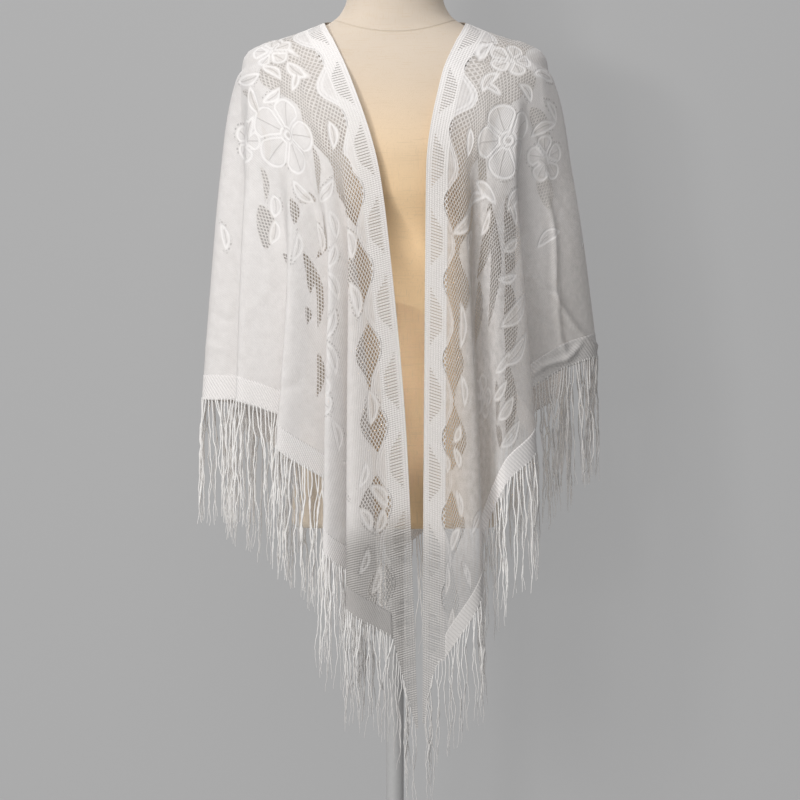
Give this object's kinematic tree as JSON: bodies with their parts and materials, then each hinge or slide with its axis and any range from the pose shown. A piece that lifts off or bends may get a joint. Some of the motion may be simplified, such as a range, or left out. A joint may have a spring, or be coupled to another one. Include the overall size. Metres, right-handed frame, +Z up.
{
  "type": "lace shawl on a dress form",
  "caption": "Open-front triangular lace shawl with a scalloped edging, a ribbed hem band and a long corded fringe, draped on a limbless dress form with a pole and a round base.",
  "frame": {"origin": "centre of the round base's underside, on the floor", "axes": "+Z up along the pole, -Y towards the front of the dress form, +X towards the wearer's left"},
  "size_m": [0.496, 0.33, 1.5123],
  "materials": {
    "knit": "soft openwork knit",
    "fringe": "corded yarn",
    "linen": "plain woven cover",
    "cap_wood": "satin",
    "pole_metal": "satin",
    "base_paint": "matte enamel"
  },
  "bodies": {
    "root": {"shawl_ground": "knit", "shawl_edging": "knit", "shawl_hem_band": "knit", "shawl_fringe_left": "fringe", "shawl_fringe_right": "fringe", "form_body": "linen", "form_neck_cap": "cap_wood", "stand_pole": "pole_metal", "stand_base": "base_paint"}
  },
  "joints": []
}
